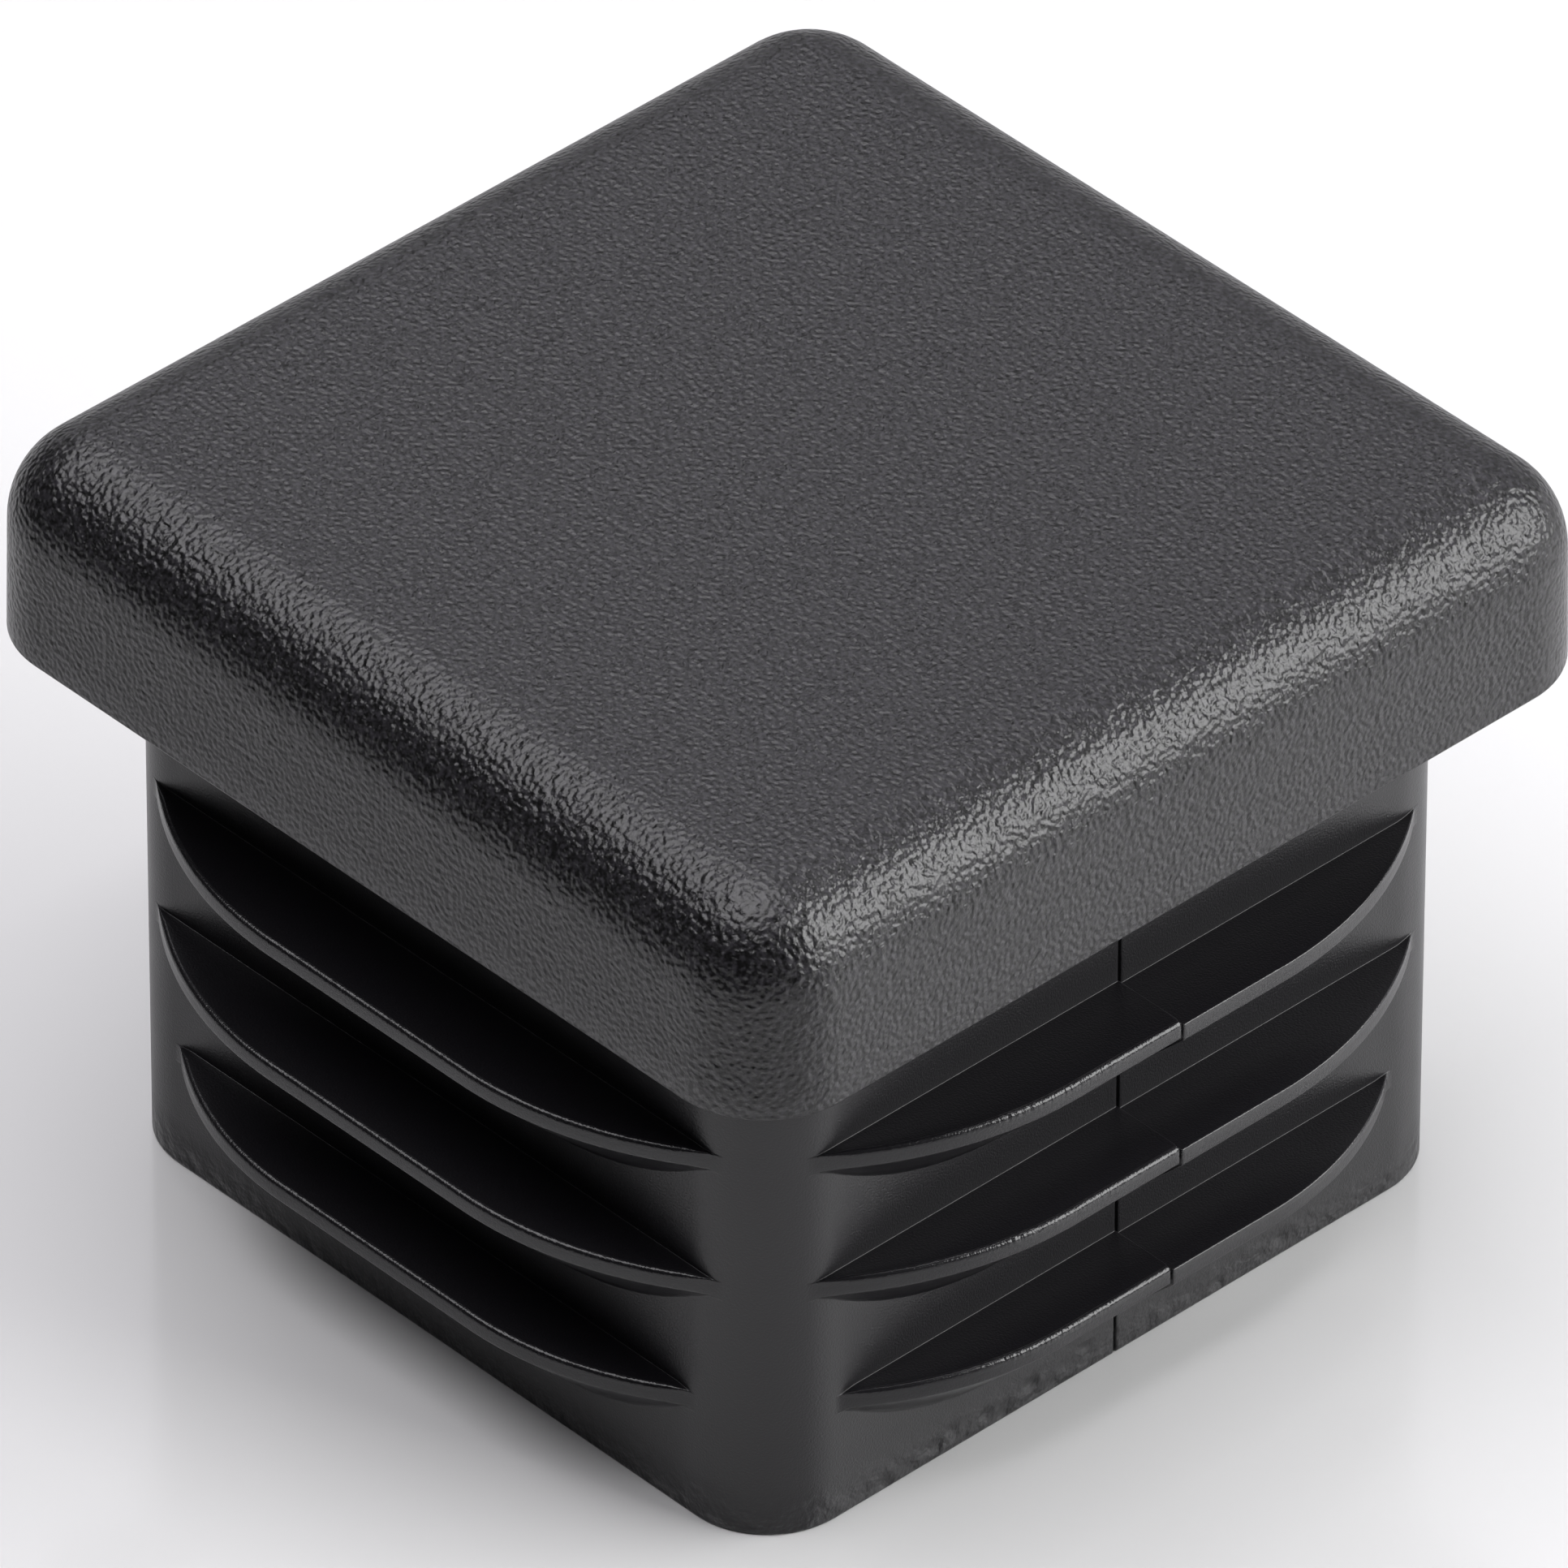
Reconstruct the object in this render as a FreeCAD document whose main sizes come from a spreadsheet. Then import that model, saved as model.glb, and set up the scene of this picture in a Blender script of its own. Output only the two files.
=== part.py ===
import FreeCAD, Part
import math
import os
import Sketcher

# A push-in cap for the end of a square tube, moulded in one piece. A square head with softened
# top edges covers the tube's end, and a hollow square shank slides inside the tube. Each side of
# the shank carries three arched fins, flat on top and bevelled below, that bend and grip.
# Millimetres. The shank's open rim lies on z = 0, the head is up, and the axis is Z.

sizes = {
    "headSide": 25.0,        # across the flats, at the head's lower edge
    "headHeight": 5.0,
    "headDraft": 1.1,        # degrees that the head's sides lean in
    "headCorner": 2.35,      # upright corners
    "headEdge": 2.15,        # rounding of the top edge
    "shankSide": 20.7,
    "shankCorner": 2.1,
    "shankLength": 13.6,     # from the open rim to the head
    "wall": 1.5,             # at the open rim
    "skin": 2.2,             # the head above the hollow
    "hollowDraft": 1.0,      # degrees
    "hollowRoot": 0.8,       # rounding at the hollow's inner end
    "finReach": 1.95,        # from the shank's wall to the middle of a fin's edge
    "finRim": 0.42,          # upright edge of a fin
    "finStraight": 3.0,      # half the straight stretch in the middle of the edge
    "finBevel": 45.0,        # degrees from level, underside
    "upperDrop": 3.46,       # from the head down to the upper fin's flat top
    "lowerHeight": 3.34,     # from the open rim up to the lower fin's flat top
    "longHalf": 8.72,        # half length of the upper and middle fins along the wall
    "shortHalf": 8.1,        # the lower fin is shorter
    "shortReach": 1.73,      # and stands out less, to start in the tube
}

# fin name: (height of the flat top, half length, reach). The middle fin is halfway.
upperTop = "Sizes.shankLength - Sizes.upperDrop"
lowerTop = "Sizes.lowerHeight"
fins = {
    "Upper": (upperTop, "Sizes.longHalf", "Sizes.finReach"),
    "Middle": ("(%s + %s) / 2" % (upperTop, lowerTop), "Sizes.longHalf", "Sizes.finReach"),
    "Lower": (lowerTop, "Sizes.shortHalf", "Sizes.shortReach"),
}

doc = FreeCAD.newDocument("TubeEndCap")
sheet = doc.addObject("Spreadsheet::Sheet", "Sizes")
for row, (name, value) in enumerate(sizes.items(), start=1):
    sheet.set("A%d" % row, name)
    sheet.set("B%d" % row, str(value))
    sheet.setAlias("B%d" % row, name)
doc.recompute()

body = doc.addObject("PartDesign::Body", "EndCap")
body.Label = "end_cap"


def originItem(role):
    return next(item for item in body.Origin.OriginFeatures if item.Role == role)


def valueOf(expression):
    return float(sheet.evalExpression(expression))


def sketchAt(name, height):
    """An empty sketch on a level plane, whose height is an expression."""
    sketch = body.newObject("Sketcher::SketchObject", name)
    sketch.AttachmentSupport = (originItem("XY_Plane"), [""])
    sketch.MapMode = "FlatFace"
    sketch.setExpression("AttachmentOffset.Base.z", height)
    return sketch


def bind(sketch, kind, where, expression):
    """A driving dimension of the sketch that follows the spreadsheet."""
    index = sketch.addConstraint(Sketcher.Constraint(kind, *where, valueOf(expression)))
    sketch.setExpression("Constraints[%d]" % index, expression)


def roundedSquare(name, height, side, corner):
    """A centred square with rounded corners: four straights, each followed by its corner."""
    sketch = sketchAt(name, height)
    half = valueOf(side) / 2
    radius = valueOf(corner)
    straight = half - radius
    up = FreeCAD.Vector(0, 0, 1)
    for turn in range(4):
        spin = FreeCAD.Rotation(up, 90 * turn)
        start = spin.multVec(FreeCAD.Vector(half, -straight, 0))
        end = spin.multVec(FreeCAD.Vector(half, straight, 0))
        centre = spin.multVec(FreeCAD.Vector(straight, straight, 0))
        angle = math.radians(90 * turn)
        sketch.addGeometry(Part.LineSegment(start, end))
        sketch.addGeometry(Part.ArcOfCircle(Part.Circle(centre, up, radius), angle, angle + math.pi / 2))
    for turn in range(4):
        line = 2 * turn
        corner_arc = line + 1
        sketch.addConstraint(Sketcher.Constraint("Tangent", line, 2, corner_arc, 1))
        sketch.addConstraint(Sketcher.Constraint("Tangent", corner_arc, 2, (line + 2) % 8, 1))
        sketch.addConstraint(Sketcher.Constraint(("Vertical", "Horizontal")[turn % 2], line))
    for corner_arc in (3, 5, 7):
        sketch.addConstraint(Sketcher.Constraint("Equal", 1, corner_arc))
    bind(sketch, "Radius", (1,), corner)
    bind(sketch, "DistanceX", (-1, 1, 0, 1), side + " / 2")
    bind(sketch, "DistanceX", (4, 1, -1, 1), side + " / 2")
    bind(sketch, "DistanceY", (-1, 1, 2, 1), side + " / 2")
    bind(sketch, "DistanceY", (6, 1, -1, 1), side + " / 2")
    return sketch


def pad(name, sketch, length, **bound):
    """The sketch raised by the length; bound holds more properties with their expressions."""
    feature = body.newObject("PartDesign::Pad", name)
    feature.Profile = sketch
    feature.setExpression("Length", length)
    for prop, expression in bound.items():
        feature.setExpression(prop, expression)
    doc.recompute()
    return feature


def edgesAtHeight(feature, height):
    """Names of the feature's edges that lie level at the height."""
    names = []
    for number, edge in enumerate(feature.Shape.Edges, start=1):
        box = edge.BoundBox
        if abs(box.ZMin - height) < 1e-4 and abs(box.ZMax - height) < 1e-4:
            names.append("Edge%d" % number)
    return names


def fillet(name, base, height, radius):
    """A rounding of every level edge of the base at the height."""
    feature = body.newObject("PartDesign::Fillet", name)
    feature.Base = (base, edgesAtHeight(base, valueOf(height)))
    feature.setExpression("Radius", radius)
    doc.recompute()
    return feature


def finOutline(name, height, half, reach):
    """A fin seen from above, on the +X side. Its edge is straight in the middle and curves back on
    both sides, tangent to the straight, through the tips and on into the wall's thickness."""
    sketch = sketchAt(name, height)
    curve = "((%s - Sizes.finStraight)^2 + %s^2) / (2 * %s)" % (half, reach, reach)
    radius = valueOf(curve)
    edge = valueOf("Sizes.shankSide / 2 + " + reach)
    root = valueOf("(Sizes.shankSide - Sizes.wall) / 2")
    straight = valueOf("Sizes.finStraight")
    sweep = math.acos(1 - (edge - root) / radius)
    end = straight + radius * math.sin(sweep)
    up = FreeCAD.Vector(0, 0, 1)

    def at(x, y):
        return FreeCAD.Vector(x, y, 0)

    far = Part.Circle(at(edge - radius, straight), up, radius)
    near = Part.Circle(at(edge - radius, -straight), up, radius)
    sketch.addGeometry(Part.LineSegment(at(edge, -straight), at(edge, straight)))
    sketch.addGeometry(Part.ArcOfCircle(far, 0, sweep))
    sketch.addGeometry(Part.LineSegment(at(root, end), at(root, -end)))
    sketch.addGeometry(Part.ArcOfCircle(near, -sweep, 0))
    for kind, *where in (
        ("Tangent", 0, 2, 1, 1),
        ("Coincident", 1, 2, 2, 1),
        ("Coincident", 2, 2, 3, 1),
        ("Tangent", 3, 2, 0, 1),
        ("Vertical", 2),
        ("Symmetric", 0, 1, 0, 2, -1),
        ("Equal", 1, 3),
    ):
        sketch.addConstraint(Sketcher.Constraint(kind, *where))
    bind(sketch, "Radius", (1,), curve)
    bind(sketch, "DistanceX", (-1, 1, 0, 1), "Sizes.shankSide / 2 + " + reach)
    bind(sketch, "DistanceX", (-1, 1, 2, 1), "(Sizes.shankSide - Sizes.wall) / 2")
    bind(sketch, "DistanceY", (-1, 1, 0, 2), "Sizes.finStraight")
    return sketch


def finRing(name, top, half, reach):
    """Four fins at one level: an upright rim, and below it the same outline drawn down and in
    along the bevel until it is inside the wall, then both turned to the other sides."""
    outline = finOutline(name + "Outline", top + " - Sizes.finRim", half, reach)
    rim = pad(name + "Rim", outline, "Sizes.finRim")
    bevel = body.newObject("PartDesign::Pad", name + "Bevel")
    bevel.Profile = outline
    bevel.UseCustomVector = True
    bevel.AlongSketchNormal = True
    bevel.setExpression("Direction.x", "-cos(Sizes.finBevel)")
    bevel.setExpression("Direction.y", "0")
    bevel.setExpression("Direction.z", "-sin(Sizes.finBevel)")
    bevel.setExpression("Length", reach + " * tan(Sizes.finBevel) + Sizes.wall / 4")
    doc.recompute()
    ring = body.newObject("PartDesign::PolarPattern", name + "Ring")
    ring.Originals = [rim, bevel]
    ring.Axis = (originItem("Z_Axis"), [""])
    ring.Angle = 360
    ring.Occurrences = 4
    body.Tip = ring
    doc.recompute()
    return ring


# The head, drafted, with its top edge rounded.
headOutline = roundedSquare("HeadOutline", "Sizes.shankLength", "Sizes.headSide", "Sizes.headCorner")
head = pad("Head", headOutline, "Sizes.headHeight", TaperAngle="-Sizes.headDraft")
fillet("HeadEdge", head, "Sizes.shankLength + Sizes.headHeight", "Sizes.headEdge")

# The shank, flush all round, and its rings of fins.
shankOutline = roundedSquare("ShankOutline", "0", "Sizes.shankSide", "Sizes.shankCorner")
pad("Shank", shankOutline, "Sizes.shankLength")
for name, (top, half, reach) in fins.items():
    finRing(name, top, half, reach)

# The hollow, open at the rim and drafted towards the head, rounded at its inner end.
hollowOutline = roundedSquare(
    "HollowOutline", "0", "(Sizes.shankSide - 2 * Sizes.wall)", "(Sizes.shankCorner - Sizes.wall / 2)"
)
hollow = body.newObject("PartDesign::Pocket", "Hollow")
hollow.Profile = hollowOutline
hollow.Reversed = True
hollow.setExpression("Length", "Sizes.shankLength + Sizes.headHeight - Sizes.skin")
hollow.setExpression("TaperAngle", "-Sizes.hollowDraft")
doc.recompute()
fillet("HollowRoot", hollow, "Sizes.shankLength + Sizes.headHeight - Sizes.skin", "Sizes.hollowRoot")
doc.recompute()

faults = [item.Name for item in doc.Objects if "Invalid" in item.State or "Error" in item.State]
if faults:
    raise RuntimeError("failed: " + ", ".join(faults))
if body.Shape.isNull() or not body.Shape.isValid() or len(body.Shape.Solids) != 1:
    raise RuntimeError("the cap is not one valid solid")

os.makedirs("parts", exist_ok=True)
body.Shape.exportStep("parts/%s.step" % body.Label)
box = body.Shape.BoundBox
print("%s: %.2f x %.2f x %.2f mm, %.0f mm3, %d faces" % (
    body.Label, box.XLength, box.YLength, box.ZLength, body.Shape.Volume, len(body.Shape.Faces)))
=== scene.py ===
import math
import bpy
import numpy as np
from mathutils import Matrix, Vector


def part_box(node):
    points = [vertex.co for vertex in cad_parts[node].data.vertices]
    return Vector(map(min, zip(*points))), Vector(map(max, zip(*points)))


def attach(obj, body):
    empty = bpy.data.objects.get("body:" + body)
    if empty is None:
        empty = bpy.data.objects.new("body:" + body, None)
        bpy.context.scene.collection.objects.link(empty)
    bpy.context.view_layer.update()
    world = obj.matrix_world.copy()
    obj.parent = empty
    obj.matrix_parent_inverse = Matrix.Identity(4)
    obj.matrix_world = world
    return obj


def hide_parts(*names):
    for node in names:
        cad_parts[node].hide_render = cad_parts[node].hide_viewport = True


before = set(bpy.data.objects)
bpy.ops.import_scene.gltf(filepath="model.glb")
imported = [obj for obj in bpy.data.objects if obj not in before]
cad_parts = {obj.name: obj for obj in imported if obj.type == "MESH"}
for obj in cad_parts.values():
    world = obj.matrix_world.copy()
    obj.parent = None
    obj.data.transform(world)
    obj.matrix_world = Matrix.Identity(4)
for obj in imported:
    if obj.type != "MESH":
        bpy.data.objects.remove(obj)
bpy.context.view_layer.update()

mm = 0.001
capLow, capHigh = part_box("end_cap")
headSide = (capHigh[0] - capLow[0]) / mm
capHeight = (capHigh[2] - capLow[2]) / mm

# Sizes are in millimetres, with the shank's open rim on z = 0.
head = {
    "height": 5.0,
    "draft": 1.1,            # degrees
    "corner": 2.35,          # upright corners, at the lower edge
    "edge": 2.15,            # rounding of the top edge
    "lip": 0.05,             # rounding of the lower edge
}
shank = {
    "side": 20.7,
    "corner": 2.1,
    "wall": 1.5,
    "skin": 2.2,             # the head above the hollow
    "hollowDraft": 1.0,      # degrees
    "hollowRoot": 0.8,       # rounding at the hollow's inner end
    "rimEdge": 0.06,         # rounding of the open rim
}
fins = {
    "drops": (3.46, 6.86, 10.26),    # from the head down to the flat tops
    "halves": (8.72, 8.72, 8.1),     # half lengths along the wall
    "reaches": (1.95, 1.95, 1.73),   # how far they stand out
    "rim": 0.42,             # the upright edge
    "straight": 3.0,         # half the straight stretch of the edge
    "bevel": 45.0,           # degrees from level
    "root": 0.014,           # rounding where the top meets the wall
    "frontEdge": 0.13,       # rounding of the rim's top edge, on the side of the front slide
    "backEdge": 0.04,        # and of the back slide
    "underEdge": 0.03,       # rounding of the rim's lower edge, and where its two rows lie:
    "underRim": (0.18, 0.08),        # shares of it in from the rim and up
    "underBevel": 0.7,               # and down the bevel
    "polishFrom": 0.05,      # the edge has its full polish where the fin stands out this far
    "shadedTopFrom": 0.02,        # and the top gets the less reflective copy from here, painted shade
}
mould = {
    "slideStep": 0.05,       # the front slide's fins stand this much higher than the middle, the back's lower
    "stepFade": 0.3,         # the step fades out where a fin stands out less than this
    "slideBlend": 0.04,      # one slide passes into the other over this width
    "seamDepth": 0.08,
    "seamWidth": 0.036,      # half of it
}
# Shares are of the way that the rows cross, from 0 where it starts to 1 at its end.
grid = {
    "seamSteps": (0.0, 0.018, 0.028, 0.036, 0.045, 0.06, 0.13),    # columns from a side's middle
    "sideStep": 0.135,       # and on to its corner
    "cornerSteps": 22,
    "topShares": (0.04, 0.3, 0.6, 0.85, 0.97),    # rows on the head's flat top, from its middle out
    "ceilingShares": (0.6, 0.2, 0.02),            # and on the hollow's ceiling, going in
    "flatCorner": 0.1,       # a flat row's corner, before its share is taken
    "leastCorner": 0.01,
    "edgeRows": 19,          # round the head's top edge
    "sideRows": 5,           # down its side
    "ledgeShares": (0.5, 0.96, 1.0),    # in under the head
    "wallShares": (0.35, 0.7),          # down the shank's plain wall
    "hair": 0.03,            # strip at both ends of it
    "finShares": (0.33, 0.67, 1.0),     # out on a fin's top, and in on its bevel
    "spread": 0.005,         # between a fin's rows, where there is no fin
    "spreadFade": 0.01,      # and gone over this much reach
    "hollowRows": 9,         # up the inside
}


def perimeter():
    # Columns of the grid, once round the cap. Each quarter is one side, from its right-hand corner to
    # its left, and then the corner that follows. side is the place along the side as a share of its
    # straight half, and 1 in the corner. turn is the angle round the corner, and 0 along the side.
    half = shank["side"] / 2 - shank["corner"]
    fine = np.array(grid["seamSteps"])
    coarse = np.linspace(fine[-1], half, int(round((half - fine[-1]) / grid["sideStep"])) + 1)[1:]
    out = np.concatenate([fine, coarse])
    side = np.concatenate([-out[:0:-1], out]) / half
    turn = np.linspace(0, math.pi / 2, grid["cornerSteps"] + 1)[1:-1]
    sides = np.concatenate([side, np.ones(len(turn))])
    turns = np.concatenate([np.zeros(len(side)), turn])
    quarter = np.repeat(np.arange(4), len(sides))
    return np.tile(sides, 4), np.tile(turns, 4), quarter


sideShare, cornerTurn, quarter = perimeter()
quarterAngle = quarter * math.pi / 2


def spin(along, across, angle):
    # A point given on the +X side, turned by the angle: x is along cos - across sin, and y is along sin
    # + across cos.
    return (along * np.cos(angle) - across * np.sin(angle),
            along * np.sin(angle) + across * np.cos(angle))


def roundedSquare(half, corner):
    # A square with rounded corners: out from the axis by half, along by the share of the straight, or
    # round the corner's arc.
    straight = half - corner
    out = straight + corner * np.cos(cornerTurn)
    along = straight * sideShare + corner * np.sin(cornerTurn)
    return out, along


def finReach(halfLength, most):
    # How far the fin's edge stands out from the wall in each column: the reach, less the sagitta of an
    # arc that starts where the straight ends, and never less than nothing. Past the middle of a corner
    # the next side's fin counts, so the column is mirrored there.
    half = shank["side"] / 2
    out, along = roundedSquare(half, shank["corner"])
    near = cornerTurn <= math.pi / 4
    deep = np.where(near, out, along)
    place = np.abs(np.where(near, along, out))
    run = halfLength - fins["straight"]
    radius = (run ** 2 + most ** 2) / (2 * most)
    past = np.clip(place - fins["straight"], 0, radius * 0.999)
    edge = half + most - (radius - np.sqrt(radius ** 2 - past ** 2))
    return np.maximum(edge - deep, 0), near


wallOut, wallAlong = roundedSquare(shank["side"] / 2, shank["corner"])
wallX, wallY = spin(wallOut, wallAlong, quarterAngle)
# Two slides part on the middle of the +X and -X sides. frontSlide is 1 on the -Y slide and 0 on the +Y one.
frontSlide = np.clip(0.5 - wallY / mould["slideBlend"], 0, 1)
onSeamSide = (quarter % 2 == 0) & (cornerTurn == 0)
seam = np.where(onSeamSide, np.exp(-(wallY / mould["seamWidth"]) ** 4), 0)
seamCut = mould["seamDepth"] * seam

rows = []                    # each row is x, y, z of the whole perimeter
# And what marks its points: grain is 1 on the head, finEdge on the rounding of a fin's top edge, and
# finTop on a fin's flat top.
marks = {"grain": [], "finEdge": [], "finTop": []}


def addRow(x, y, z, **given):
    rows.append(np.stack([x, y, np.broadcast_to(z, x.shape)], axis=1))
    for mark, values in marks.items():
        values.append(np.broadcast_to(given.get(mark, 0.0), x.shape))


def addSquare(half, corner, z, grain=0.0, cut=0.0):
    # A level row: the rounded square, drawn in by the cut.
    out, along = roundedSquare(half, max(corner, grid["leastCorner"]))
    x, y = spin(out - cut, along, quarterAngle)
    addRow(x, y, z, grain=grain)


def addHead():
    # From the middle of the top out to the rounded edge, down the drafted side and in under the head.
    # A rounding's row is the radius times 1 - sin of its angle in, and the radius times 1 - cos down.
    top = capHeight
    under = top - head["height"]
    lean = math.tan(math.radians(head["draft"]))
    edge = head["edge"]
    topHalf = headSide / 2 - head["height"] * lean
    for share in grid["topShares"]:
        addSquare((topHalf - edge) * share, grid["flatCorner"] * share, top, 1.0)
    # the ball that rounds the edge touches the top and the leaning side
    ballIn = edge / math.cos(math.radians(head["draft"])) - edge * lean
    for angle in np.linspace(0, math.radians(90 - head["draft"]), grid["edgeRows"]):
        inset = ballIn - edge * math.sin(angle)
        addSquare(topHalf - inset, head["corner"] - head["height"] * lean - inset,
                  top - edge * (1 - math.cos(angle)), 1.0)
    for z in np.linspace(top - edge, under + head["lip"], grid["sideRows"])[1:]:
        addSquare(headSide / 2 - (z - under) * lean, head["corner"] - (z - under) * lean, z, 1.0)
    for angle in np.radians((30, 60, 90)):
        addSquare(headSide / 2 - head["lip"] * (1 - math.cos(angle)), head["corner"],
                  under + head["lip"] * (1 - math.sin(angle)))
    for share in grid["ledgeShares"]:
        half = headSide / 2 + (shank["side"] / 2 - headSide / 2) * share
        corner = head["corner"] + (shank["corner"] - head["corner"]) * share
        addSquare(half, corner, under, 0.0, seamCut * (share == 1.0))
    return under


def addWall(zEnd):
    # The shank's plain wall, from the last row down to a height that may differ from column to column.
    # A hair's breadth at both ends keeps the tall faces between them flat in the shading.
    zStart = rows[-1][:, 2]
    drop = zStart - zEnd
    hair = np.minimum(grid["hair"], drop / 4)
    x, y = spin(wallOut - seamCut, wallAlong, quarterAngle)
    for z in (zStart - hair, *(zStart - drop * share for share in grid["wallShares"]), zEnd + hair, zEnd):
        addRow(x, y, z)


def addFin(zTop, halfLength, most):
    # One level of fins. Every row stands out from the wall by a share of the fin's reach and lies below
    # the top by its depth. The bevel's depth grows by what its share of the reach loses, times the
    # bevel's tangent. Where there is no fin the rows spread down the wall instead, a hair apart.
    reach, near = finReach(halfLength, most)
    zTop = zTop + mould["slideStep"] * (2 * frontSlide - 1) * np.minimum(reach / mould["stepFade"], 1)
    rim = fins["rim"]
    edge = fins["backEdge"] + (fins["frontEdge"] - fins["backEdge"]) * frontSlide
    edge, root, under = (np.minimum(size, reach / 3) for size in (edge, fins["root"], fins["underEdge"]))
    slope = math.tan(math.radians(fins["bevel"]))
    inward, upward = fins["underRim"]
    onBevel = fins["underBevel"]
    edgeAngles = np.radians((18, 36, 54, 72, 90))
    path = [(root * (1 - math.cos(a)), -root * (1 - math.sin(a))) for a in np.radians((30, 60, 90))]
    path += [(root + (reach - edge - root) * s, 0 * reach) for s in grid["finShares"]]
    path += [(reach - edge * (1 - math.sin(a)), edge * (1 - math.cos(a))) for a in edgeAngles]
    path += [(reach, edge + (rim - edge - under) * s) for s in (0.5, 1.0)]
    path += [(reach - under * inward, rim - under * upward)]
    path += [((reach - under * onBevel) * (1 - s), rim + under * onBevel * (1 - s) + reach * s * slope)
             for s in (0.0, *grid["finShares"])]
    # counted from 1, rows 3 to 6 lie on the flat top and rows 7 to 11 round its edge
    polish = np.clip(reach / fins["polishFrom"], 0, 1)
    shadedTop = reach > fins["shadedTopFrom"]
    spread = grid["spread"] * np.exp(-reach / grid["spreadFade"])
    addWall(zTop + root + spread * 3)
    for count, (stand, depth) in enumerate(path, start=1):
        stand = stand - seamCut
        x, y = spin(wallOut + np.where(near, stand, 0), wallAlong + np.where(near, 0, stand), quarterAngle)
        addRow(x, y, zTop - depth - spread * (count - 3), finEdge=polish * (7 <= count <= 11),
               finTop=shadedTop * float(3 <= count <= 6))


def addHollow():
    # Round the open rim, up the drafted inside, round the root and in along the ceiling. The roundings
    # are worked out as in addHead.
    half, corner, edge = shank["side"] / 2, shank["corner"], shank["rimEdge"]
    for angle in np.radians((45, 90)):
        addSquare(half - edge * (1 - math.cos(angle)), corner, edge * (1 - math.sin(angle)), 0.0, seamCut)
    inner = half - shank["wall"]
    innerCorner = corner - shank["wall"] / 2
    for angle in np.radians((90, 45, 0)):
        addSquare(inner + edge * (1 - math.cos(angle)), innerCorner, edge * (1 - math.sin(angle)))
    lean = math.tan(math.radians(shank["hollowDraft"]))
    ceiling = capHeight - shank["skin"]
    root = shank["hollowRoot"]
    for z in np.linspace(edge, ceiling - root, grid["hollowRows"])[1:]:
        addSquare(inner - z * lean, innerCorner - z * lean, z)
    side = inner - (ceiling - root) * lean
    sideCorner = innerCorner - (ceiling - root) * lean
    for angle in np.radians((15, 30, 45, 60, 75, 90)):
        inset = root * (1 - math.cos(angle))
        addSquare(side - inset, sideCorner - inset, ceiling - root * (1 - math.sin(angle)))
    for share in grid["ceilingShares"]:
        addSquare((side - root) * share, grid["flatCorner"] * share, ceiling)
    return ceiling


def quadsBetween(across, levels, closed):
    # Four corners a face: a point, the one in the next row, the one after that, and back in its own row.
    here = np.arange(across if closed else across - 1)
    there = (here + 1) % across
    level = np.arange(levels - 1)[:, None] * across
    return np.stack([level + here, level + across + here, level + across + there, level + there],
                    axis=2).reshape(-1, 4)


def closedMesh(name, topPole, bottomPole):
    # The rows as one closed skin: quads between rows, round and round, and a fan to a pole at both ends.
    count, across = len(rows), len(rows[0])
    points = np.concatenate([np.concatenate(rows), [topPole, bottomPole]]) * mm
    quads = quadsBetween(across, count, True)
    here = np.arange(across)
    there = (here + 1) % across
    topIndex, bottomIndex = count * across, count * across + 1
    last = (count - 1) * across
    fanTop = np.stack([np.full(across, topIndex), here, there], axis=1)
    fanBottom = np.stack([np.full(across, bottomIndex), last + there, last + here], axis=1)
    mesh = bpy.data.meshes.new(name)
    mesh.from_pydata(points.tolist(), [], quads.tolist() + fanTop.tolist() + fanBottom.tolist())
    for mark, poles in (("grain", [1.0, 0.0]), ("finEdge", [0.0, 0.0])):
        layer = mesh.attributes.new(mark, "FLOAT", "POINT")
        layer.data.foreach_set("value", np.concatenate([*marks[mark], poles]).astype(np.float32))
    mesh.polygons.foreach_set("use_smooth", np.ones(len(mesh.polygons), bool))
    # the second material, which reflects less and so paints the recesses' shade, goes on the quads whose four
    # corners lie on a fin's top
    top = np.array(marks["finTop"])
    flat = top[:-1] * top[1:]
    shadedTop = np.concatenate([(flat * np.roll(flat, -1, axis=1)).ravel(), np.zeros(2 * across)])
    mesh.polygons.foreach_set("material_index", shadedTop.astype(np.int32))
    mesh.update()
    piece = bpy.data.objects.new(name, mesh)
    bpy.context.scene.collection.objects.link(piece)
    return piece


def buildCap():
    # One skin from the middle of the top down the outside, round the open rim and up the inside.
    under = addHead()
    for drop, halfLength, most in zip(fins["drops"], fins["halves"], fins["reaches"]):
        addFin(under - drop, halfLength, most)
    addWall(np.full(len(wallX), shank["rimEdge"]))
    ceiling = addHollow()
    return closedMesh("cap_moulding", (0, 0, capHeight), (0, 0, ceiling))


cap = buildCap()
print("cap:", len(cap.data.polygons), "faces")

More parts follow.
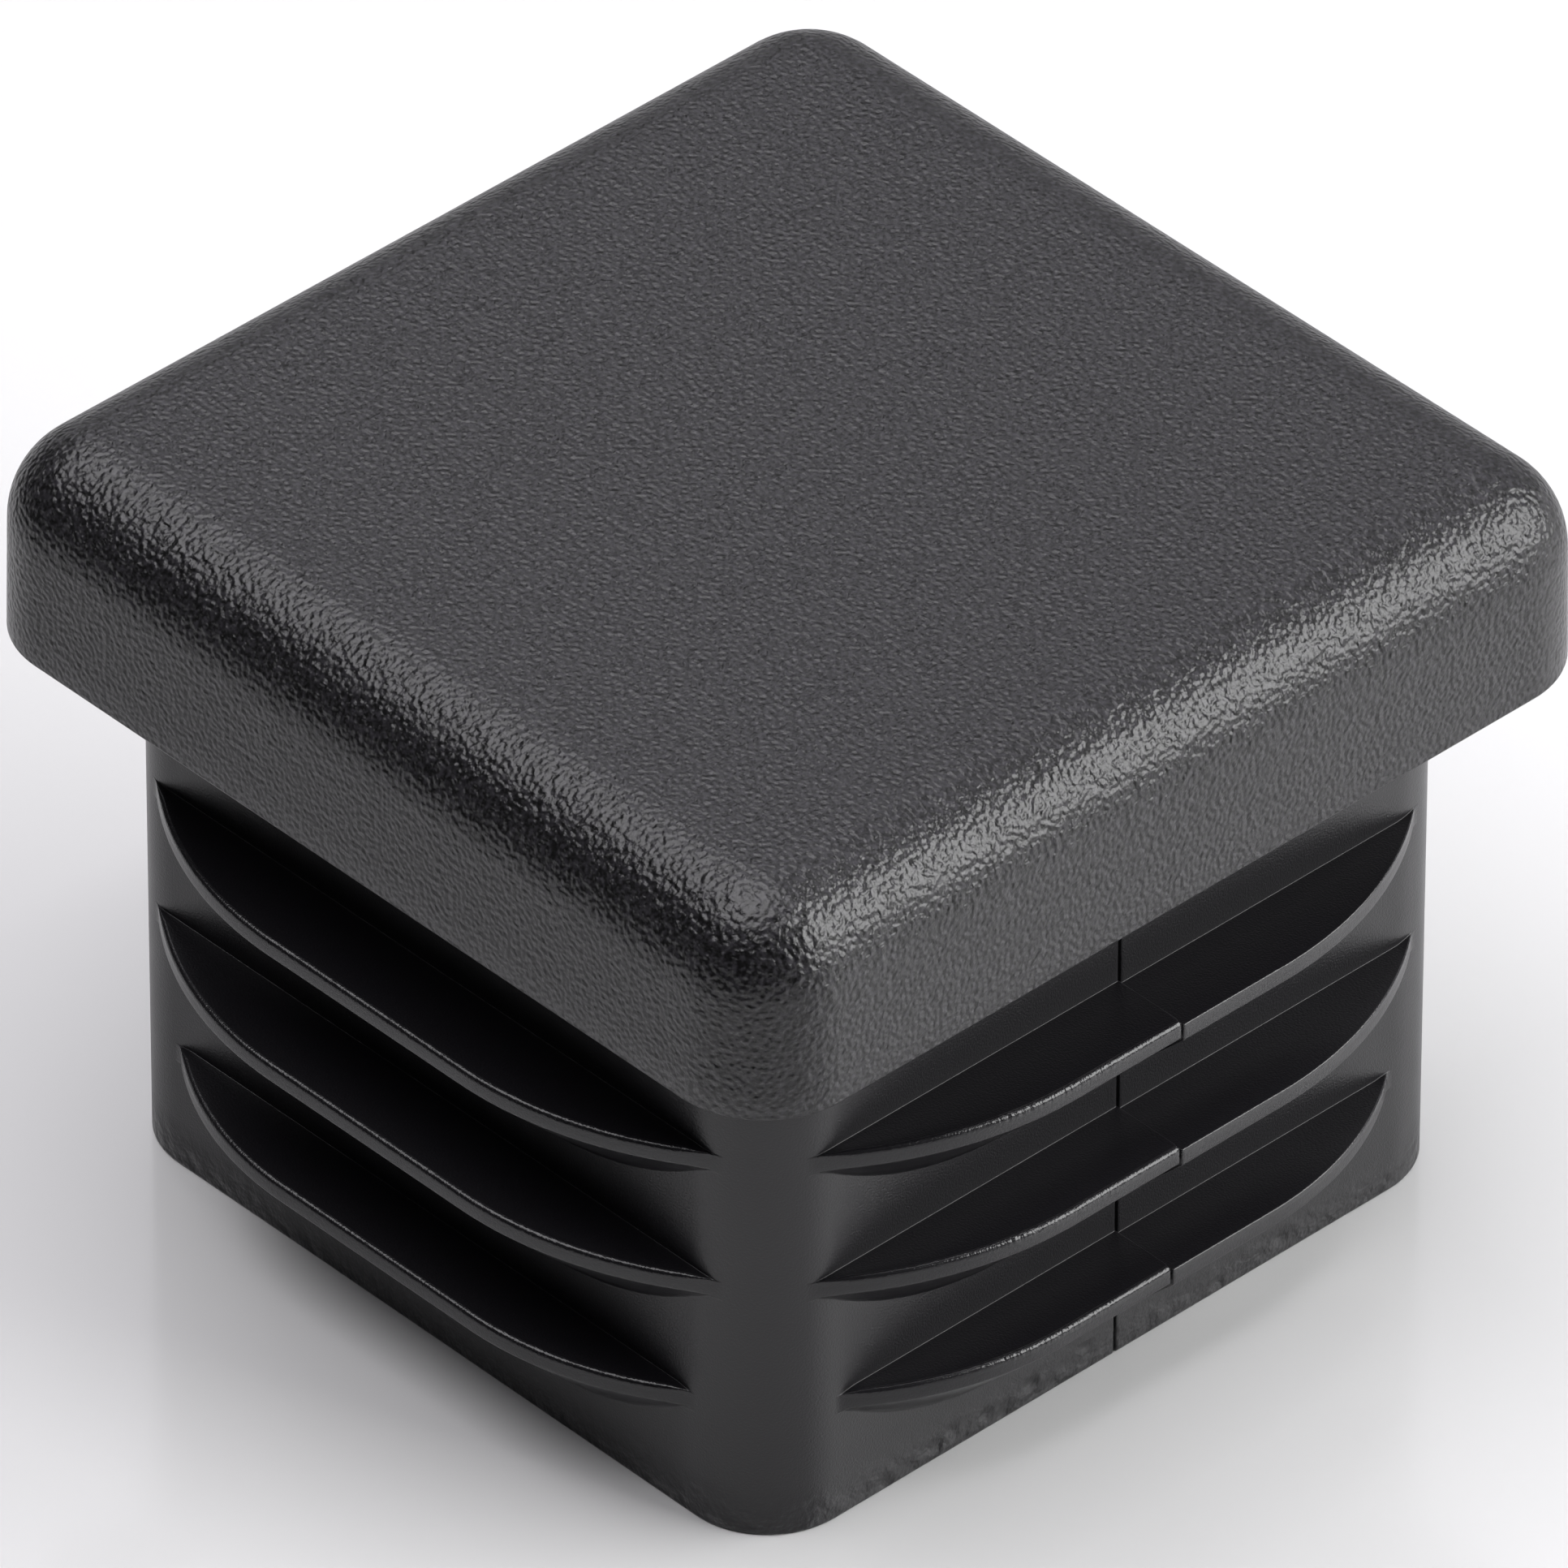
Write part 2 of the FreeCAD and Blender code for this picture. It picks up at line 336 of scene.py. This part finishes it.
# Sizes and depths in millimetres. A pattern's size is that of one speck, pit or dent.
plastic = {
    "name": "black_polyethylene",
    "colour": (0.0006, 0.0005, 0.0007),
    "paler": (0.0205, 0.0193, 0.0230),
    "speckleSize": 0.12,
    "speckleRange": (0.4, 0.7),      # of the noise, from the dark colour to the paler one
    "speckleShare": 0.34,    # of the paler colour, where there are no specks
    "roughHead": 0.33,
    "roughShank": 0.34,
    "roughFinEdge": 0.21,
    "smearSize": 10 / 9,     # the roughness wanders by smearRough up and down
    "smearRough": 0.03,
    "ior": 1.5,
    "gloss": 0.5,            # specular level, 0.5 for plain plastic
    "glossFinTop": 0.16,     # the fins' tops reflect less: painted shade of the recesses between the fins
    "grainSize": 0.13,       # the head's grain
    "grainDepth": 0.0265,
    "fineSize": 0.05,
    "fineDepth": 0.004,
    "skirtTop": 1.3,         # the shank is uneven below this height
    "skirtSize": 0.38,
    "skirtDepth": 0.055,
    "dentTop": 1.1,          # and has small dents from this height,
    "dentLow": 0.1,          # most of them at this one
    "dentSize": 0.75,
    "dentRadius": 0.42,      # share of the size
    "dentChance": (0.22, 0.42),      # no dent below the first, a whole one from the second
    "dentDepth": 0.05,
    "scratchFrom": -5.5,     # the rims of the +X side are scratched between these places
    "scratchTo": -1.2,
    "scratchFade": 0.6,      # at full depth inside this share of the stretch
    "scratchOut": (10.4, 10.8),      # from the wall out to the rim
    "scratchSize": 0.09,
    "scratchTurn": 35,       # degrees
    "scratchStretch": (0.15, 1.0, 0.25),
    "scratchDepth": 0.013,
}


class NodeMaker:
    # Short calls for a material's nodes. add makes one, with its inputs and settings. The others make the
    # kinds that come up most often and return the socket that holds their result.
    def __init__(self, material):
        material.use_nodes = True
        self.tree = material.node_tree
        self.tree.nodes.clear()

    def add(self, kind, inputs=(), **settings):
        node = self.tree.nodes.new(kind)
        for key, value in settings.items():
            setattr(node, key, value)
        for key, value in dict(inputs).items():
            if isinstance(value, bpy.types.NodeSocket):
                self.tree.links.new(value, node.inputs[key])
            else:
                node.inputs[key].default_value = value
        return node

    def calc(self, operation, *values):
        return self.add("ShaderNodeMath", dict(enumerate(values)), operation=operation).outputs[0]

    def ramp(self, value, start, end, low=0.0, high=1.0, smooth=False):
        # The value carried from start and end to low and high, and held there outside them.
        return self.add("ShaderNodeMapRange", {"Value": value, "From Min": start, "From Max": end,
                                               "To Min": low, "To Max": high},
                        interpolation_type="SMOOTHSTEP" if smooth else "LINEAR").outputs[0]

    def noise(self, place, size, detail, roughness=0.5):
        return self.add("ShaderNodeTexNoise", {"Vector": place, "Scale": 1 / (size * mm), "Detail": detail,
                                               "Roughness": roughness}).outputs["Fac"]

    def bump(self, height, depth, relief=None, invert=False):
        # The height times the depth, on top of the relief so far.
        inputs = {"Strength": 1.0, "Distance": depth * mm, "Height": height}
        if relief is not None:
            inputs["Normal"] = relief
        return self.add("ShaderNodeBump", inputs, invert=invert).outputs[0]


def makePlastic(name, gloss):
    # Colour: dark, mixed with the paler one by speckleShare, and on the head by a noise round it, which
    # paints the shade and glints of its grain.
    # Roughness: by the marks grain and finEdge, plus a slow noise. Relief: bumps, one on top of another.
    # A noise stays near its middle half, so its bump has twice the depth that is wanted.
    material = bpy.data.materials.new(name)
    make = NodeMaker(material)
    place = make.add("ShaderNodeTexCoord").outputs["Object"]
    grain = make.add("ShaderNodeAttribute", attribute_name="grain").outputs["Fac"]
    finEdge = make.add("ShaderNodeAttribute", attribute_name="finEdge").outputs["Fac"]
    split = make.add("ShaderNodeSeparateXYZ", {"Vector": place})
    x, y, z = (split.outputs[axis] for axis in "XYZ")

    # the head's specks are painted shade and glints of its grain
    usual = plastic["speckleShare"]
    specks = make.ramp(make.noise(place, plastic["speckleSize"], 1.0), *plastic["speckleRange"],
                       -usual, 1 - usual)
    share = make.calc("MULTIPLY_ADD", specks, grain, usual)
    colour = make.add("ShaderNodeMix", {"Factor": share}, data_type="RGBA")
    colour.inputs[6].default_value = (*plastic["colour"], 1)
    colour.inputs[7].default_value = (*plastic["paler"], 1)

    rough = make.ramp(grain, 0.0, 1.0, plastic["roughShank"], plastic["roughHead"])
    rough = make.ramp(finEdge, 0.0, 1.0, rough, plastic["roughFinEdge"])
    smear = make.ramp(make.noise(place, plastic["smearSize"], 4.0), 0.0, 1.0,
                      -plastic["smearRough"], plastic["smearRough"])
    rough = make.calc("ADD", rough, smear)

    pits = make.calc("MULTIPLY", make.noise(place, plastic["grainSize"], 0.4, 0.35), grain)
    relief = make.bump(pits, plastic["grainDepth"] * 2)
    relief = make.bump(make.noise(place, plastic["fineSize"], 1.0), plastic["fineDepth"] * 2, relief)

    low = make.ramp(z, plastic["skirtTop"] * mm, 0.0, smooth=True)
    waves = make.calc("MULTIPLY", make.noise(place, plastic["skirtSize"], 2.0, 0.55), low)
    relief = make.bump(waves, plastic["skirtDepth"] * 2, relief)

    # dents: round hollows in some cells of a scattered pattern, in more of them lower down
    cells = make.add("ShaderNodeTexVoronoi", {"Vector": place, "Scale": 1 / (plastic["dentSize"] * mm)})
    bowl = make.ramp(cells.outputs["Distance"], plastic["dentRadius"], 0.0, smooth=True)
    chance = make.add("ShaderNodeSeparateXYZ", {"Vector": cells.outputs["Color"]}).outputs["X"]
    lower = make.ramp(z, plastic["dentTop"] * mm, plastic["dentLow"] * mm)
    present = make.ramp(make.calc("MULTIPLY", chance, lower), *plastic["dentChance"])
    relief = make.bump(make.calc("MULTIPLY", bowl, present), plastic["dentDepth"], relief, invert=True)

    # scratches: a stretched noise, only on the fin edges of the +X side and between the two places
    middle = (plastic["scratchFrom"] + plastic["scratchTo"]) / 2 * mm
    half = (plastic["scratchTo"] - plastic["scratchFrom"]) / 2 * mm
    away = make.calc("ABSOLUTE", make.calc("SUBTRACT", y, middle))
    along = make.ramp(away, half, half * plastic["scratchFade"])
    outside = make.ramp(x, *(out * mm for out in plastic["scratchOut"]))
    where = make.calc("MULTIPLY", make.calc("MULTIPLY", along, outside), finEdge)
    turned = make.add("ShaderNodeMapping", {"Vector": place, "Scale": plastic["scratchStretch"],
                                            "Rotation": (math.radians(plastic["scratchTurn"]), 0, 0)})
    scratches = make.calc("MULTIPLY", make.noise(turned.outputs[0], plastic["scratchSize"], 1.0), where)
    relief = make.bump(scratches, plastic["scratchDepth"] * 2, relief)

    shader = make.add("ShaderNodeBsdfPrincipled", {"Base Color": colour.outputs[2], "Roughness": rough,
                                                   "IOR": plastic["ior"], "Specular IOR Level": gloss,
                                                   "Normal": relief})
    make.add("ShaderNodeOutputMaterial", {"Surface": shader.outputs[0]})
    return material


cap.data.materials.append(makePlastic(plastic["name"], plastic["gloss"]))
# the fins' tops get a copy that reflects less: painted shade of the recesses
cap.data.materials.append(makePlastic(plastic["name"] + "_fin_tops_painted_shade", plastic["glossFinTop"]))
smoothing = cap.modifiers.new("evenShading", "WEIGHTED_NORMAL")
smoothing.keep_sharp = True
smoothing.weight = 80
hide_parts("end_cap")
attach(cap, "root")
print("plastic: done")

# The room, in metres: a shallow pale dish for a floor, so that its rim fills low views, and soft lamps.
room = {
    "floorFlat": 1.5,        # radius of the flat part
    "floorRise": 0.13,       # height of the rim
    "floorRun": 1.5,         # how far out it rises
    "floorInner": (0.02, 0.1),       # radius of the middle face and of the ring after it
    "floorFlatRings": 6,
    "floorRings": 24,
    "floorTurns": 96,
    "floorColour": (0.60, 0.60, 0.60),
    "floorRough": 0.14,
    "floorIor": 1.5,
    "whiteFrom": 0.25,       # the floor turns to plain white from this radius
    "whiteTo": 0.7,          # to this one
    "worldColour": (0.08, 0.08, 0.083),
    "lampAim": 0.01,         # height that the lamps are set up round
}
# A card whose dark face is painted shade, mirrored in the plastic where the floor and the room are in shade.
shadeCard = {
    "colour": (0.03, 0.03, 0.03),
    "from": -178,            # degrees from +X
    "to": -32,
    "steps": 49,
    "radius": 0.115,         # metres
    "foot": 0.001,
    "height": 0.075,
}
# Each lamp: its azimuth from +X towards +Y and its elevation, distance, width and height, and its
# brightness as a share of white.
lamps = {
    "overhead_box": {"azimuth": 208, "elevation": 70.2, "distance": 1.063, "size": (1.20, 1.08),
                     "level": 3.85, "colour": (0.985, 0.97, 1.0), "facesDown": True},
    "back_box": {"azimuth": 126, "elevation": 34.5, "distance": 1.15, "size": (1.35, 0.54),
                 "level": 1.12, "colour": (0.955, 0.94, 1.0)},
    "right_box": {"azimuth": 43, "elevation": 27.5, "distance": 0.45, "size": (0.44, 0.29),
                  "level": 7.9, "colour": (1.0, 1.0, 1.0)},
}


def makeThing(name, points, faces, material):
    # An object of the room from its points, in metres, and its faces.
    mesh = bpy.data.meshes.new(name)
    mesh.from_pydata(points.tolist(), [], faces)
    mesh.materials.append(material)
    thing = bpy.data.objects.new(name, mesh)
    bpy.context.scene.collection.objects.link(thing)
    return thing


def floorMaterial():
    # Pale and a little glossy near the cap. By a smooth step of the radius it turns to plain white, which
    # only the camera and the reflections see, so that it sends no light. It is clear from below.
    material = bpy.data.materials.new("pale_floor")
    make = NodeMaker(material)
    pale = make.add("ShaderNodeBsdfPrincipled", {"Base Color": (*room["floorColour"], 1),
                                                 "Roughness": room["floorRough"], "IOR": room["floorIor"]})
    clear = make.add("ShaderNodeBsdfTransparent")
    back = make.add("ShaderNodeNewGeometry").outputs["Backfacing"]
    place = make.add("ShaderNodeTexCoord").outputs["Object"]
    radius = make.add("ShaderNodeVectorMath", {0: place}, operation="LENGTH").outputs["Value"]
    far = make.ramp(radius, room["whiteFrom"], room["whiteTo"], smooth=True)
    ray = make.add("ShaderNodeLightPath").outputs
    seen = make.calc("MAXIMUM", ray["Is Camera Ray"], ray["Is Glossy Ray"])
    seen = make.calc("MAXIMUM", seen, ray["Is Transmission Ray"])
    white = make.add("ShaderNodeEmission", {"Color": (1, 1, 1, 1), "Strength": 1.0})
    surface = make.add("ShaderNodeMixShader", {0: make.calc("MULTIPLY", seen, far), 1: pale.outputs[0],
                                               2: white.outputs[0]})
    both = make.add("ShaderNodeMixShader", {0: back, 1: surface.outputs[0], 2: clear.outputs[0]})
    make.add("ShaderNodeOutputMaterial", {"Surface": both.outputs[0]})
    return material


def makeFloor():
    # A disc whose height is zero to the flat radius and then rises as 1 - cos over a quarter wave.
    turns = room["floorTurns"]
    angle = np.linspace(0, 2 * math.pi, turns, endpoint=False)
    first, second = room["floorInner"]
    flat = np.linspace(second, room["floorFlat"], room["floorFlatRings"])
    rising = room["floorFlat"] + room["floorRun"] * np.linspace(0, 1, room["floorRings"])[1:]
    radius = np.concatenate([[first], flat, rising])
    rise = np.clip((radius - room["floorFlat"]) / room["floorRun"], 0, 1)
    height = room["floorRise"] * (1 - np.cos(rise * math.pi / 2))
    points = np.stack([np.outer(radius, np.cos(angle)), np.outer(radius, np.sin(angle)),
                       np.broadcast_to(height[:, None], (len(radius), turns))], axis=2).reshape(-1, 3)
    faces = [list(range(turns))] + quadsBetween(turns, len(radius), True).tolist()
    floor = makeThing("floor", points, faces, floorMaterial())
    floor.data.polygons.foreach_set("use_smooth", np.ones(len(faces), bool))


def makeCard():
    # A low dark card that stands on the floor along an arc round the cap's front and left: every foot
    # point at the radius, and a top point above it. The plastic mirrors it and the camera looks through.
    # Its dark face is painted shade: it stands in for the shaded floor and the dark side of the room there.
    angle = np.radians(np.linspace(shadeCard["from"], shadeCard["to"], shadeCard["steps"]))
    foot = np.stack([shadeCard["radius"] * np.cos(angle), shadeCard["radius"] * np.sin(angle),
                     np.full(len(angle), shadeCard["foot"])], axis=1)
    points = np.concatenate([foot, foot + (0, 0, shadeCard["height"])])
    material = bpy.data.materials.new("shade_card")
    make = NodeMaker(material)
    dark = make.add("ShaderNodeBsdfDiffuse", {"Color": (*shadeCard["colour"], 1)})
    make.add("ShaderNodeOutputMaterial", {"Surface": dark.outputs[0]})
    card = makeThing("shade_card", points, quadsBetween(len(angle), 2, False).tolist(), material)
    card.visible_camera = False


def makeLamp(name, azimuth, elevation, distance, size, level, colour, facesDown=False):
    # A box lamp that faces the cap, or straight down. Its power is the level times pi times its area,
    # which makes its face as bright as the level.
    data = bpy.data.lights.new(name, "AREA")
    data.shape = "RECTANGLE"
    data.size, data.size_y = size
    data.energy = level * math.pi * size[0] * size[1]
    data.color = colour
    lamp = bpy.data.objects.new(name, data)
    around, above = math.radians(azimuth), math.radians(elevation)
    towards = Vector((math.cos(around) * math.cos(above), math.sin(around) * math.cos(above),
                      math.sin(above)))
    facing = Vector((0, 0, 1)) if facesDown else towards
    lamp.rotation_euler = facing.to_track_quat("Z", "Y").to_euler()
    lamp.location = towards * distance + Vector((0, 0, room["lampAim"]))
    bpy.context.scene.collection.objects.link(lamp)


makeFloor()
makeCard()
for name, values in lamps.items():
    makeLamp(name, **values)
world = bpy.data.worlds.new("room")
bpy.context.scene.world = world
world.use_nodes = True
world.node_tree.nodes["Background"].inputs["Color"].default_value = (*room["worldColour"], 1)
bpy.context.scene.view_settings.view_transform = "Standard"
print("room: done")

# The camera of the photograph: azimuth and elevation round the cap, turn, distance and aim in millimetres.
view = {
    "azimuth": 46.824,
    "elevation": 37.746,
    "roll": 0.132,
    "distance": 545.452,
    "aim": (-0.057, -3.166),   # right and up from the middle of the head's lower edge
    "lens": 585.5,
    "sensor": 36,
    "clip": (0.01, 20),      # metres
}


def makeCamera():
    # Back from the aim by the distance, along the azimuth and elevation, and turned by the roll.
    azimuth, elevation, roll = (math.radians(view[k]) for k in ("azimuth", "elevation", "roll"))
    back = Vector((math.sin(azimuth) * math.cos(elevation), -math.cos(azimuth) * math.cos(elevation),
                   math.sin(elevation)))
    right = Vector((math.cos(azimuth), math.sin(azimuth), 0))
    up = back.cross(right)
    across = right * math.cos(roll) + up * math.sin(roll)
    upward = up * math.cos(roll) - right * math.sin(roll)
    place = Vector((0, 0, capHeight - head["height"])) + back * view["distance"]
    place += across * view["aim"][0] + upward * view["aim"][1]
    data = bpy.data.cameras.new("photo_camera")
    data.sensor_width = view["sensor"]
    data.lens = view["lens"]
    data.clip_start, data.clip_end = view["clip"]
    camera = bpy.data.objects.new("photo_camera", data)
    camera.matrix_world = Matrix.Translation(place * mm) @ Matrix(
        [[across[i], upward[i], back[i]] for i in range(3)]).to_4x4()
    bpy.context.scene.collection.objects.link(camera)
    bpy.context.scene.camera = camera


makeCamera()
print("camera: done")
